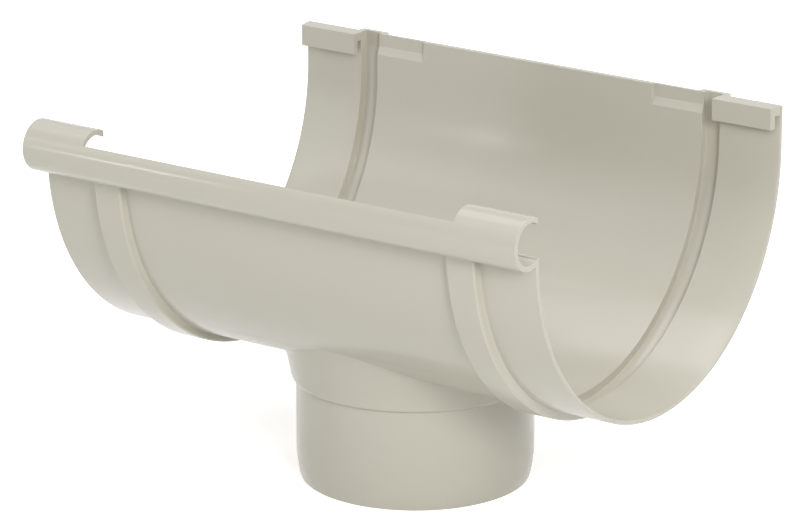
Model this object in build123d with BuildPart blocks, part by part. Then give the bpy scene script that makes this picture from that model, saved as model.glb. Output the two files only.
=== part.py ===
from build123d import *
from math import sqrt
import os

# Gutter outlet for a half-round gutter, injection moulded in one piece of PVC.
# X runs along the gutter, Z up. The front bead is on the -Y side, the rear clips on the +Y side.
# The origin is the centre of the spigot's lower edge.

# Channel, with a lead-in at each socket's mouth
half_length = 121.0
socket_inner_r = 89.3
socket_wall = 2.1
body_wall = 2.6
wall_top = 18.0
front_wall_top = -1.2
mouth_lead_length = 1.6
mouth_lead_depth = 0.5
mouth_edge = 0.5

# Expansion groove beside each socket, with the raised band that it makes outside
groove_inner_end = 83.0
groove_outer_end = 91.3
groove_depth = 3.5
groove_slope = 0.5
band_side_wall = 2.5
band_slope = 0.9
band_edge = 0.6

# Front bead, a roll that is open towards the back
bead_r = 10.8
bead_wall = 2.3
bead_offset = 6.6
bead_lift = 5.7
bead_mouth = 5.3
bead_cut_angle = 145.0

# Rear clips on the sockets, hooks with a slot that is open downwards
clip_depth = 7.8
clip_leg = 2.6
clip_roof = 3.8
clip_leg_drop = 9.2
clip_setback = 1.3
clip_corner_r = 1.5

# Thinned pads at the top of the back wall
pad_length = 24.5
pad_depth = 1.4
pad_floor = 5.5
pad_ledge = 3.5

# Spigot, with a long rounded lead-in
spigot_r = 50.0
spigot_wall = 2.6
spigot_height = 43.3
lead_height = 14.0
lead_inset = 1.2
lead_bulge = 0.25
tip_height = 2.2
tip_inset = 0.7

# Shoulder and neck between the spigot and the channel
shoulder_height = 2.2
shoulder_step = 2.1
shoulder_bulge = 0.6
neck_height = 2.6
neck_top_r = 58.0
neck_overlap = 4.0
saddle_r = 1.0
throat_rim_r = 1.5
throat_lift = 1.0

# Sizes that follow
socket_outer_r = socket_inner_r + socket_wall
body_outer_r = socket_inner_r + body_wall
groove_r = socket_inner_r + groove_depth
band_r = groove_r + socket_wall
band_inner_end = groove_inner_end - band_side_wall
band_outer_end = groove_outer_end + band_side_wall
neck_foot_r = spigot_r + shoulder_step
neck_foot_z = spigot_height + shoulder_height
axis_height = neck_foot_z + neck_height + body_outer_r
neck_top_z = axis_height - sqrt(body_outer_r**2 - neck_top_r**2) + neck_overlap
top_z = axis_height + wall_top
leg_bottom_z = top_z - clip_leg_drop
roof_bottom_z = top_z - clip_roof
ledge_top_z = top_z - pad_floor
clip_front_y = socket_outer_r - clip_depth
bead_y = -socket_inner_r - bead_offset
bead_z = axis_height + bead_lift
bead_mouth_y = bead_y + bead_mouth
bead_reach = 3 * bead_r
channel_plane = Plane.XY.offset(axis_height)
channel_axis = Axis((0, 0, axis_height), (-1, 0, 0))


def both_ends(half_points):
    """Points of the right half of a wall's profile, and their mirror images on the left."""
    return half_points + [(-x, r) for x, r in reversed(half_points)]


outside = both_ends(
    [
        (half_length, 0),
        (half_length, socket_outer_r - mouth_edge),
        (half_length - mouth_edge, socket_outer_r),
        (band_outer_end + band_slope, socket_outer_r),
        (band_outer_end, band_r),
        (band_inner_end, band_r),
        (band_inner_end - band_slope, body_outer_r),
    ]
)
inside = both_ends(
    [
        (half_length, 0),
        (half_length, socket_inner_r + mouth_lead_depth),
        (half_length - mouth_lead_length, socket_inner_r),
        (groove_outer_end + groove_slope, socket_inner_r),
        (groove_outer_end, groove_r),
        (groove_inner_end, groove_r),
        (groove_inner_end, socket_inner_r),
    ]
)

with BuildPart() as gutter_outlet:
    # Outside of the channel, with the raised bands
    with BuildSketch(channel_plane) as outside_profile:
        with BuildLine():
            Polyline(*outside, close=True)
        make_face()
        chamfer(outside_profile.vertices().group_by(Axis.Y)[-1], length=band_edge)
    revolve(axis=channel_axis, revolution_arc=180)
    extrude(outside_profile.sketch, amount=wall_top)

    # Outside of the spigot and the neck
    with BuildSketch(Plane.XZ):
        with BuildLine():
            tip = Polyline(
                (0, 0),
                (spigot_r - lead_inset - tip_inset, 0),
                (spigot_r - lead_inset, tip_height),
            )
            lead = SagittaArc(tip @ 1, (spigot_r, lead_height), -lead_bulge)
            side = Line(lead @ 1, (spigot_r, spigot_height))
            shoulder = SagittaArc(side @ 1, (neck_foot_r, neck_foot_z), -shoulder_bulge)
            Polyline(shoulder @ 1, (neck_top_r, neck_top_z), (0, neck_top_z), (0, 0))
        make_face()
    revolve(axis=Axis.Z)
    fillet(gutter_outlet.edges(Select.LAST).filter_by(GeomType.BSPLINE), radius=saddle_r)

    # Inside of the channel, with the grooves
    with BuildSketch(channel_plane) as inside_profile:
        with BuildLine():
            Polyline(*inside, close=True)
        make_face()
    revolve(axis=channel_axis, revolution_arc=180, mode=Mode.SUBTRACT)
    extrude(inside_profile.sketch, amount=wall_top, mode=Mode.SUBTRACT)

    # Inside of the spigot and the neck, one wall in from the outside
    with BuildSketch(Plane.XZ):
        with BuildLine():
            Polyline(
                (0, 0),
                (spigot_r - spigot_wall, 0),
                (spigot_r - spigot_wall, spigot_height + throat_lift),
                (neck_foot_r - spigot_wall, neck_foot_z + throat_lift),
                (neck_top_r - spigot_wall, neck_top_z),
                (neck_top_r - spigot_wall, axis_height),
                (0, axis_height),
                close=True,
            )
        make_face()
    revolve(axis=Axis.Z, mode=Mode.SUBTRACT)
    fillet(gutter_outlet.edges(Select.LAST).filter_by(GeomType.BSPLINE), radius=throat_rim_r)

    # Front wall cut down to the trough of the bead
    with BuildSketch(Plane.YZ):
        with Locations((-socket_inner_r, axis_height + front_wall_top)):
            Rectangle(2 * bead_r, 2 * wall_top, align=(Align.CENTER, Align.MIN))
    extrude(amount=half_length, both=True, mode=Mode.SUBTRACT)

    # Front bead, open at the back and cut low between the sockets
    with BuildSketch(Plane.YZ):
        with Locations((bead_y, bead_z)):
            Circle(bead_r)
            Circle(bead_r - bead_wall, mode=Mode.SUBTRACT)
        with Locations((bead_mouth_y, bead_z)):
            Rectangle(bead_reach, bead_reach, align=(Align.MIN, Align.CENTER), mode=Mode.SUBTRACT)
    extrude(amount=half_length, both=True)
    with BuildSketch(Plane.YZ):
        with Locations((bead_y, bead_z)):
            Rectangle(bead_reach, bead_r, rotation=bead_cut_angle - 180, align=(Align.CENTER, Align.MIN))
        with Locations((bead_mouth_y, bead_z)):
            Rectangle(bead_reach, bead_reach, align=(Align.MIN, Align.CENTER), mode=Mode.SUBTRACT)
    extrude(amount=groove_outer_end, both=True, mode=Mode.SUBTRACT)

    # Rear clips, flush with the rim at the wall and set back at the leg
    for side in (-1, 1):
        with BuildSketch(Plane.YZ.offset(side * groove_outer_end)):
            with BuildLine():
                Polyline(
                    (socket_inner_r, top_z),
                    (clip_front_y, top_z),
                    (clip_front_y, leg_bottom_z),
                    (clip_front_y + clip_leg, leg_bottom_z),
                    (clip_front_y + clip_leg, roof_bottom_z),
                    (socket_inner_r, roof_bottom_z),
                    close=True,
                )
            make_face()
        extrude(amount=side * (half_length - groove_outer_end))
        leg_ends = gutter_outlet.edges(Select.LAST).filter_by(Axis.Y).group_by(Axis.Z)[0]
        fillet(leg_ends.sort_by(Axis.X)[0 if side < 0 else -1], radius=clip_corner_r)
        with BuildSketch(Plane.XY.offset(top_z)):
            with BuildLine():
                Polyline(
                    (side * half_length, socket_inner_r),
                    (side * half_length, clip_front_y),
                    (side * (half_length - clip_setback), clip_front_y),
                    close=True,
                )
            make_face()
        extrude(amount=-clip_leg_drop, mode=Mode.SUBTRACT)

    # Thinned pads in the back wall beside the grooves
    for side in (-1, 1):
        with BuildSketch(Plane.YZ.offset(side * groove_inner_end)):
            with BuildLine():
                Polyline(
                    (socket_inner_r - pad_depth, top_z),
                    (socket_inner_r + pad_depth, top_z),
                    (socket_inner_r + pad_depth, ledge_top_z),
                    (socket_inner_r, ledge_top_z - pad_ledge),
                    (socket_inner_r - pad_depth, ledge_top_z - pad_ledge),
                    close=True,
                )
            make_face()
        extrude(amount=-side * pad_length, mode=Mode.SUBTRACT)

gutter_outlet.part.label = "gutter_outlet"
os.makedirs("parts", exist_ok=True)
export_step(gutter_outlet.part, "parts/gutter_outlet.step")
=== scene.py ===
import math

import bmesh
import bpy
from mathutils import Matrix, Vector


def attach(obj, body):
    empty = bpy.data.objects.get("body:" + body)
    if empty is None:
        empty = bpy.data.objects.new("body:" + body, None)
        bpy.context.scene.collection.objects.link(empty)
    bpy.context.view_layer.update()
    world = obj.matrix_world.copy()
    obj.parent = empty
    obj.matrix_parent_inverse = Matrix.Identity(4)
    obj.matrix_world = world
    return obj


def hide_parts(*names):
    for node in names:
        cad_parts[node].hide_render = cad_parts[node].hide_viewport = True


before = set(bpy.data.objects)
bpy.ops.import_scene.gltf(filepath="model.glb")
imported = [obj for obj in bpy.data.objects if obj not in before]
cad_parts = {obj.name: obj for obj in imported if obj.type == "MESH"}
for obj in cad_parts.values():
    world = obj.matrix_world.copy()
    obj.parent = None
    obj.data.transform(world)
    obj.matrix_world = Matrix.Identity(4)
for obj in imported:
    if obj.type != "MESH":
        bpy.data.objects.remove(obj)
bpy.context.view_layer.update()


# The moulding: one shell of rigid PVC, the same sand colour all through, with a half-gloss mould finish.
# It is shot in one piece, so it has no seams, only smooth walls and lightly rounded edges.
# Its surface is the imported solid's own, merged so that its turned walls shade smoothly.
MERGE_DISTANCE = 0.00015
FLAT_ANGLE = math.radians(0.2)
SHARP_ANGLE = math.radians(18)
EDGE_ROUNDING = 0.00015
EDGE_STEPS = 2
EDGE_ANGLE = math.radians(45)


def merged_copy(node, name):
    """The node's triangles with shared corners joined and flat faces whole, smooth up to the sharp angle.

    Edges sharper than the edge angle get a narrow rounding, as a mould leaves them.
    """
    mesh = bpy.data.meshes.new(name)
    shell = bmesh.new()
    shell.from_mesh(node.data)
    bmesh.ops.remove_doubles(shell, verts=shell.verts, dist=MERGE_DISTANCE)
    bmesh.ops.dissolve_limit(shell, angle_limit=FLAT_ANGLE, verts=shell.verts, edges=shell.edges)
    shell.to_mesh(mesh)
    shell.free()
    if "custom_normal" in mesh.attributes:
        mesh.attributes.remove(mesh.attributes["custom_normal"])
    mesh.shade_smooth()
    mesh.set_sharp_from_angle(angle=SHARP_ANGLE)
    piece = bpy.data.objects.new(name, mesh)
    bpy.context.scene.collection.objects.link(piece)
    rounding = piece.modifiers.new("rounding", "BEVEL")
    rounding.width = EDGE_ROUNDING
    rounding.segments = EDGE_STEPS
    rounding.limit_method = "ANGLE"
    rounding.angle_limit = EDGE_ANGLE
    rounding.use_clamp_overlap = False
    rounding.harden_normals = True
    return piece


PVC_COLOUR = (0.537, 0.515, 0.440, 1.0)
PVC_WARM = (0.525, 0.501, 0.422, 1.0)
PVC_ROUGHNESS = 0.21
PVC_IOR = 1.53
CLOUD_SCALE = 14.0
CLOUD_DETAIL = 4.0
CLOUD_GLOSS = 0.03
GRAIN_SCALE = 900.0
GRAIN_DETAIL = 2.0
GRAIN_STRENGTH = 0.08
GRAIN_DEPTH = 0.0002


def pvc_material():
    """Sand-coloured PVC: faint cloudy colour, a slightly uneven gloss and a fine mould grain."""
    material = bpy.data.materials.new("sand_pvc")
    material.use_nodes = True
    nodes = material.node_tree.nodes
    links = material.node_tree.links
    shader = nodes["Principled BSDF"]
    shader.inputs["IOR"].default_value = PVC_IOR
    place = nodes.new("ShaderNodeTexCoord")

    clouds = nodes.new("ShaderNodeTexNoise")
    clouds.inputs["Scale"].default_value = CLOUD_SCALE
    clouds.inputs["Detail"].default_value = CLOUD_DETAIL
    links.new(place.outputs["Object"], clouds.inputs["Vector"])
    tint = nodes.new("ShaderNodeMix")
    tint.data_type = "RGBA"
    tint.inputs["A"].default_value = PVC_WARM
    tint.inputs["B"].default_value = PVC_COLOUR
    links.new(clouds.outputs["Fac"], tint.inputs["Factor"])
    links.new(tint.outputs["Result"], shader.inputs["Base Color"])

    gloss = nodes.new("ShaderNodeMapRange")
    gloss.inputs["To Min"].default_value = PVC_ROUGHNESS - CLOUD_GLOSS
    gloss.inputs["To Max"].default_value = PVC_ROUGHNESS + CLOUD_GLOSS
    links.new(clouds.outputs["Fac"], gloss.inputs["Value"])
    links.new(gloss.outputs["Result"], shader.inputs["Roughness"])

    grain = nodes.new("ShaderNodeTexNoise")
    grain.inputs["Scale"].default_value = GRAIN_SCALE
    grain.inputs["Detail"].default_value = GRAIN_DETAIL
    links.new(place.outputs["Object"], grain.inputs["Vector"])
    bump = nodes.new("ShaderNodeBump")
    bump.inputs["Strength"].default_value = GRAIN_STRENGTH
    bump.inputs["Distance"].default_value = GRAIN_DEPTH
    links.new(grain.outputs["Fac"], bump.inputs["Height"])
    links.new(bump.outputs["Normal"], shader.inputs["Normal"])
    return material


moulding = merged_copy(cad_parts["gutter_outlet"], "outlet_moulding")
moulding.data.materials.append(pvc_material())
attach(moulding, "root")
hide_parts("gutter_outlet")


# The studio: a plain white floor that runs out of view, and a white sky over it.
# Both are white to the camera and in reflections, and the floor keeps a faint shadow.
# The floor's own glow grows outwards, where the lamps reach it less.
FLOOR_SIZE = 8.0
FLOOR_COLOUR = (0.80, 0.80, 0.79, 1.0)
FLOOR_ROUGHNESS = 0.9
NEAR_FLOOR = 0.35
NEAR_GLOW = 0.62
FAR_FLOOR = 1.6
FAR_GLOW = 1.0
FLOOR_BOUNCE = 0.12
SKY_BOUNCE = 0.02
WHITE = (1.0, 1.0, 1.0, 1.0)


def seen_white(tree, bounce):
    """A strength of 1 for camera rays, reflections and clear parts, and a low one for all other rays."""
    path = tree.nodes.new("ShaderNodeLightPath")
    reflected = tree.nodes.new("ShaderNodeMath")
    reflected.operation = "MAXIMUM"
    tree.links.new(path.outputs["Is Glossy Ray"], reflected.inputs[0])
    tree.links.new(path.outputs["Is Transmission Ray"], reflected.inputs[1])
    seen = tree.nodes.new("ShaderNodeMath")
    seen.operation = "MAXIMUM"
    tree.links.new(path.outputs["Is Camera Ray"], seen.inputs[0])
    tree.links.new(reflected.outputs["Value"], seen.inputs[1])
    level = tree.nodes.new("ShaderNodeMapRange")
    level.inputs["To Min"].default_value = bounce
    level.inputs["To Max"].default_value = 1.0
    tree.links.new(seen.outputs["Value"], level.inputs["Value"])
    return level.outputs["Result"]


def floor_material():
    """Matt white with a glow of its own, which grows with the distance from the outlet."""
    material = bpy.data.materials.new("studio_floor")
    material.use_nodes = True
    nodes = material.node_tree.nodes
    links = material.node_tree.links
    shader = nodes["Principled BSDF"]
    shader.inputs["Base Color"].default_value = FLOOR_COLOUR
    shader.inputs["Roughness"].default_value = FLOOR_ROUGHNESS
    shader.inputs["Emission Color"].default_value = WHITE

    place = nodes.new("ShaderNodeTexCoord")
    reach = nodes.new("ShaderNodeVectorMath")
    reach.operation = "LENGTH"
    links.new(place.outputs["Object"], reach.inputs[0])
    glow = nodes.new("ShaderNodeMapRange")
    glow.inputs["From Min"].default_value = NEAR_FLOOR
    glow.inputs["From Max"].default_value = FAR_FLOOR
    glow.inputs["To Min"].default_value = NEAR_GLOW
    glow.inputs["To Max"].default_value = FAR_GLOW
    links.new(reach.outputs["Value"], glow.inputs["Value"])
    level = nodes.new("ShaderNodeMath")
    level.operation = "MULTIPLY"
    links.new(seen_white(material.node_tree, FLOOR_BOUNCE), level.inputs[0])
    links.new(glow.outputs["Result"], level.inputs[1])
    links.new(level.outputs["Value"], shader.inputs["Emission Strength"])
    return material


half = FLOOR_SIZE / 2
corners = [(-half, -half, 0), (half, -half, 0), (half, half, 0), (-half, half, 0)]
floor_mesh = bpy.data.meshes.new("floor")
floor_mesh.from_pydata(corners, [], [(0, 1, 2, 3)])
floor_mesh.materials.append(floor_material())
floor = bpy.data.objects.new("floor", floor_mesh)
bpy.context.scene.collection.objects.link(floor)

world = bpy.data.worlds.new("studio")
bpy.context.scene.world = world
world.use_nodes = True
sky = world.node_tree.nodes["Background"]
sky.inputs["Color"].default_value = WHITE
world.node_tree.links.new(seen_white(world.node_tree, SKY_BOUNCE), sky.inputs["Strength"])


# The lamps: soft squares all round, each turned towards the middle of the outlet.
# Each has its azimuth from -Y towards +X and its elevation in degrees,
# then its distance and width in metres and its power in watts.
AIM = Vector((0.0, 0.0, 0.08))
LAMPS = {
    "key": (54.0, 23.0, 1.4, 0.35, 8.0),
    "key_fill": (35.0, 40.0, 1.4, 0.8, 4.4),
    "right_high": (125.0, 65.0, 1.4, 0.8, 6.8),
    "left_front": (-55.0, 15.0, 1.4, 0.8, 2.8),
    "left_upper": (-55.0, 40.0, 1.4, 0.8, 0.9),
    "left_high": (260.0, 65.0, 1.4, 0.8, 2.8),
    "left_low": (260.0, 22.0, 1.4, 1.2, 2.4),
    "front_low": (5.0, 7.0, 1.4, 0.3, 1.2),
    "bead_glint": (-35.8, 8.6, 0.63, 0.04, 0.09),
    "top": (0.0, 89.0, 1.4, 0.8, 2.2),
    "back": (160.0, 20.0, 1.4, 0.8, 4.5),
}


def direction(azimuth, elevation):
    """Unit vector towards an azimuth from -Y towards +X and an elevation, in degrees."""
    turn, rise = math.radians(azimuth), math.radians(elevation)
    return Vector((math.sin(turn) * math.cos(rise), -math.cos(turn) * math.cos(rise), math.sin(rise)))


for name, (azimuth, elevation, distance, width, power) in LAMPS.items():
    lamp = bpy.data.lights.new(name, "AREA")
    lamp.size = width
    lamp.energy = power
    holder = bpy.data.objects.new(name, lamp)
    towards = direction(azimuth, elevation)
    holder.location = AIM + distance * towards
    holder.rotation_euler = towards.to_track_quat("Z", "Y").to_euler()
    bpy.context.scene.collection.objects.link(holder)


# The camera: a long lens about 2 m away, at the photograph's viewing angle.
# Its place and angles in degrees come from a fit to the photograph's outline.
CAMERA_PLACE = (1.0653, -1.5156, 0.6762)
CAMERA_AZIMUTH = 35.30
CAMERA_ELEVATION = 17.53
CAMERA_ROLL = -0.07
CAMERA_LENS = 210.6
CAMERA_SENSOR = 36.0

lens = bpy.data.cameras.new("camera")
lens.lens = CAMERA_LENS
lens.sensor_width = CAMERA_SENSOR
camera = bpy.data.objects.new("camera", lens)
turn = Matrix.Rotation(math.radians(CAMERA_AZIMUTH), 4, "Z")
tilt = Matrix.Rotation(math.radians(90 - CAMERA_ELEVATION), 4, "X")
roll = Matrix.Rotation(math.radians(CAMERA_ROLL), 4, "Z")
camera.matrix_world = Matrix.Translation(CAMERA_PLACE) @ turn @ tilt @ roll
bpy.context.scene.collection.objects.link(camera)
bpy.context.scene.camera = camera
bpy.context.scene.view_settings.view_transform = "Standard"
